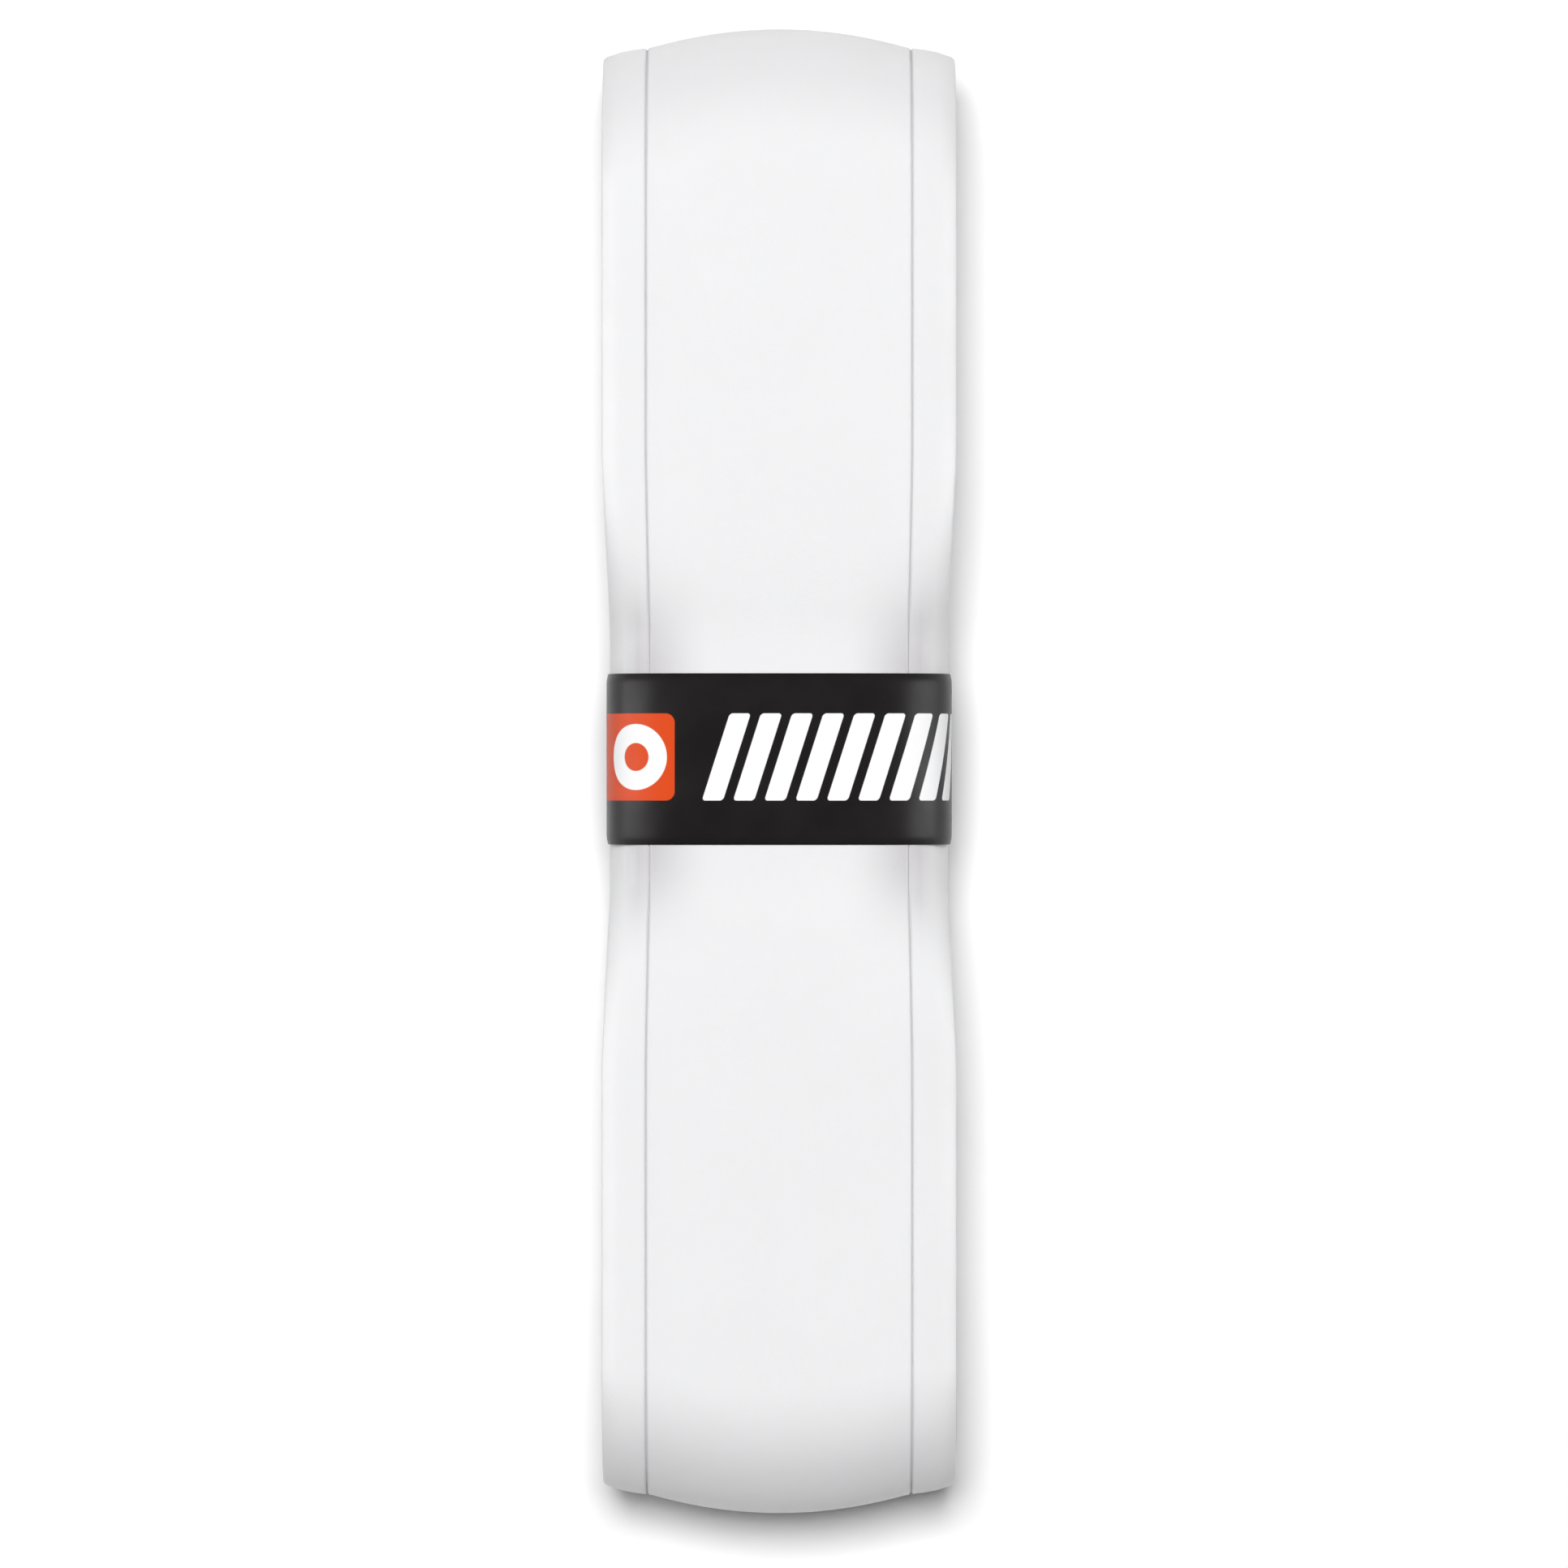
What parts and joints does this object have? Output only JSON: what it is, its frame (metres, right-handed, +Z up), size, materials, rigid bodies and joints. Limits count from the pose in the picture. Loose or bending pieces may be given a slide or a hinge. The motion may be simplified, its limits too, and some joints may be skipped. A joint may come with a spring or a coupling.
{
  "type": "grip tape roll",
  "caption": "Replacement grip tape with grooved, thinned edges, wound flat into a hank and held at its waist by a printed sleeve.",
  "frame": {"origin": "middle of the rectangle that the hank stands on when it lies on its back", "axes": "+X along the tape's width, +Y along the hank towards its closed outer fold, +Z up through its thickness, out of the printed front"},
  "size_m": [0.029, 0.1226, 0.0191],
  "materials": {
    "skin": "satin",
    "cushion": "matte",
    "tape_adhesive": "gloss",
    "tape_liner": "satin",
    "band_film": "gloss",
    "band_glue": "gloss",
    "strip_film": "satin",
    "strip_adhesive": "gloss",
    "strip_liner": "satin"
  },
  "bodies": {
    "roll": {"grip_skin": "skin", "grip_cushion": "cushion", "adhesive_strip": "tape_adhesive", "release_liner": "tape_liner"},
    "band": {"label_band": "band_film", "band_glue": "band_glue"},
    "finishing_strip": {"finishing_film": "strip_film", "finishing_adhesive": "strip_adhesive", "finishing_liner": "strip_liner"}
  },
  "joints": [
    {"name": "band_slide", "type": "slide", "parent": "roll", "child": "band", "axis": [0, 1, 0], "range_m": [-0.002, 0.002]},
    {"name": "strip_slide", "type": "slide", "parent": "roll", "child": "finishing_strip", "axis": [0, 1, 0], "range_m": [-0.003, 0.003]}
  ]
}
